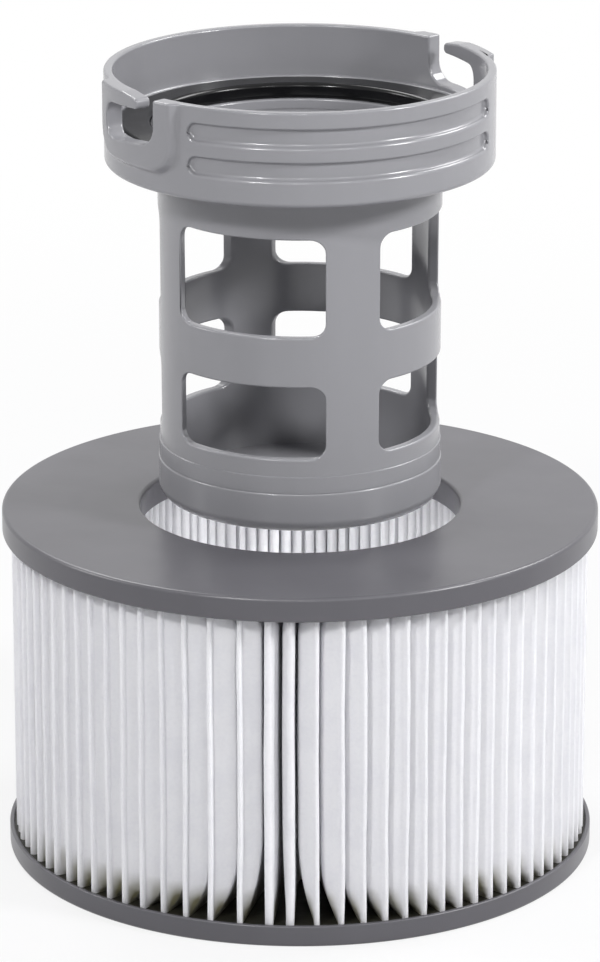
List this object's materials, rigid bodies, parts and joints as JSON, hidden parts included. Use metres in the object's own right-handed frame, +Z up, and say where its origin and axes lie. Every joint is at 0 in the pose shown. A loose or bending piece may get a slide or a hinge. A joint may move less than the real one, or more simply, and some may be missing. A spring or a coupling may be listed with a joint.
{
  "type": "filter cartridge",
  "caption": "Pleated spa filter cartridge with flat ring end caps, and its windowed holder with a hooked bayonet socket and flat seal, lifted straight out of the bore.",
  "frame": {"origin": "centre of the bottom end cap's resting face, at the bottom centre of the bounding box", "axes": "+Z up along the common axis of cartridge and holder; the first bayonet slot is 34 degrees from -Y towards -X"},
  "size_m": [0.154, 0.154, 0.2075],
  "materials": {
    "cap_plastic": "moulded dark grey plastic, satin",
    "potting_resin": "cast potting resin, near black",
    "filter_fabric": "white non-woven polyester, matt",
    "holder_plastic": "moulded mid grey plastic, slightly glossy",
    "seal_rubber": "black rubber, wet-looking"
  },
  "bodies": {
    "cartridge": {"bottom_end_cap": "cap_plastic", "top_end_cap": "cap_plastic", "bottom_potting": "potting_resin", "top_potting": "potting_resin", "pleated_media": "filter_fabric"},
    "holder": {"bayonet_head": "holder_plastic", "cage_tube": "holder_plastic", "floor_cup": "holder_plastic", "sealing_ring": "seal_rubber"}
  },
  "joints": [
    {"name": "holder_lift", "type": "slide", "parent": "cartridge", "child": "holder", "axis": [0, 0, 1], "range_m": [-0.0906, 0.03]}
  ]
}
